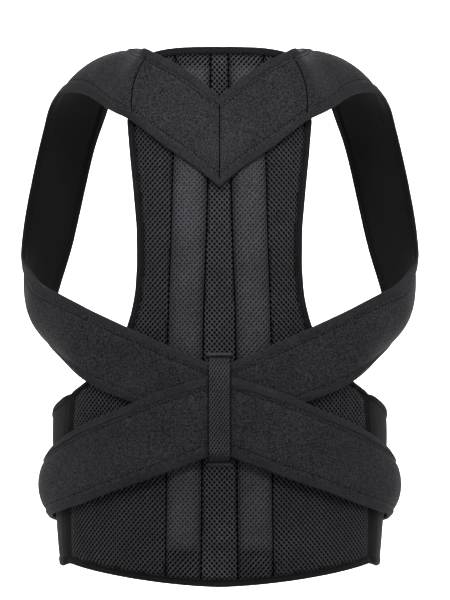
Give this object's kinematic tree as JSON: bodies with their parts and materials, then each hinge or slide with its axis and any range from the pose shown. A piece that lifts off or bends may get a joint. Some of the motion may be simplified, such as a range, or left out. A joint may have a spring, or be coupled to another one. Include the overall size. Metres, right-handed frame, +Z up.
{
  "type": "posture corrector",
  "caption": "Back brace with a padded mesh back panel, a V yoke, shoulder straps that run under the arms, waist straps and a belt closed in front.",
  "frame": {"origin": "middle of the back panel's inner face, on the wearer's spine at half the panel's height", "axes": "+Z up the spine, +Y towards the wearer's front, +X to the wearer's right"},
  "size_m": [0.3658, 0.2362, 0.4649],
  "materials": {
    "spacer_mesh": "open spacer mesh, near black",
    "pocket_mesh": "mesh stretched over stays, charcoal",
    "loop_cloth": "brushed loop cloth, charcoal",
    "tape": "smooth folded binding tape, near black",
    "smooth_cloth": "smooth knitted cloth, near black",
    "keeper_mesh": "knitted mesh band, charcoal"
  },
  "bodies": {
    "root": {"back_panel": "spacer_mesh", "stay_pocket_left": "pocket_mesh", "stay_pocket_right": "pocket_mesh", "panel_edge_binding": "tape", "panel_hem_binding": "tape", "yoke_left": "loop_cloth", "yoke_left_neck_binding": "tape", "yoke_left_lower_binding": "tape", "shoulder_strap_left": "loop_cloth", "shoulder_strap_left_neck_binding": "tape", "shoulder_strap_left_arm_binding": "tape", "waist_strap_left": "loop_cloth", "waist_strap_left_binding": "tape", "belt_wing_left": "smooth_cloth", "belt_wing_left_binding": "tape", "yoke_right": "loop_cloth", "yoke_right_neck_binding": "tape", "yoke_right_lower_binding": "tape", "shoulder_strap_right": "loop_cloth", "shoulder_strap_right_neck_binding": "tape", "shoulder_strap_right_arm_binding": "tape", "waist_strap_right": "loop_cloth", "waist_strap_right_binding": "tape", "belt_wing_right": "smooth_cloth", "belt_wing_right_binding": "tape", "front_closure": "smooth_cloth", "keeper_loop": "keeper_mesh", "keeper_hem_top": "keeper_mesh", "keeper_hem_bottom": "keeper_mesh"}
  },
  "joints": []
}
